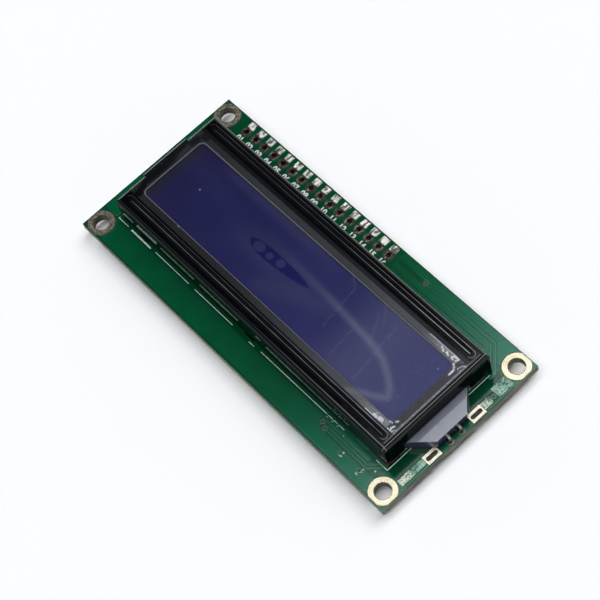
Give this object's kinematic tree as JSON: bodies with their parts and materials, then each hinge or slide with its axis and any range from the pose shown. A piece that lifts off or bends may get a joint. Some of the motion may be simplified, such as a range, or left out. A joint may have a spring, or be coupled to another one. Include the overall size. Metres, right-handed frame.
{
  "type": "character lcd module",
  "caption": "Edge-lit character display on a flat circuit board, under a pressed black metal bezel with a wide window, with a row of header holes along one edge.",
  "frame": {"origin": "centre of the four mounting holes, on the board's front face", "axes": "+X along the board towards the backlight lamp, +Y towards the header edge, +Z out of the display"},
  "size_m": [0.08, 0.036, 0.0102],
  "materials": {
    "board": "gloss",
    "tin": "satin",
    "bezel": "gloss",
    "film": "gloss",
    "glass": "gloss",
    "polariser": "gloss",
    "seal": "matt",
    "guide": "gloss",
    "diffuser": "matt",
    "white_film": "matt",
    "lamp": "gloss",
    "rubber": "matt",
    "resin": "satin",
    "resistor": "matt",
    "capacitor": "matt"
  },
  "bodies": {
    "root": {"circuit_board": "board", "mounting_lands_front": "tin", "mounting_lands_back": "tin", "header_pads": "tin", "slot_pads": "tin", "lead_pads": "tin", "contact_fingers_upper": "tin", "contact_fingers_lower": "tin", "reflector_film": "white_film", "light_guide": "guide", "diffuser_film": "diffuser", "backlight_lamp": "lamp", "lamp_leads": "tin", "lead_solder_front": "tin", "lead_solder_back": "tin", "contact_strip_upper": "rubber", "contact_strip_lower": "rubber", "rear_polariser": "polariser", "rear_glass": "glass", "cell_seal": "seal", "front_glass": "glass", "front_polariser": "polariser", "bezel": "bezel", "protective_film": "film", "controller_dome": "resin", "driver_dome": "resin", "resistor_bodies": "resistor", "resistor_caps": "tin", "capacitor_bodies": "capacitor", "capacitor_caps": "tin", "chip_pads": "tin"}
  },
  "joints": []
}
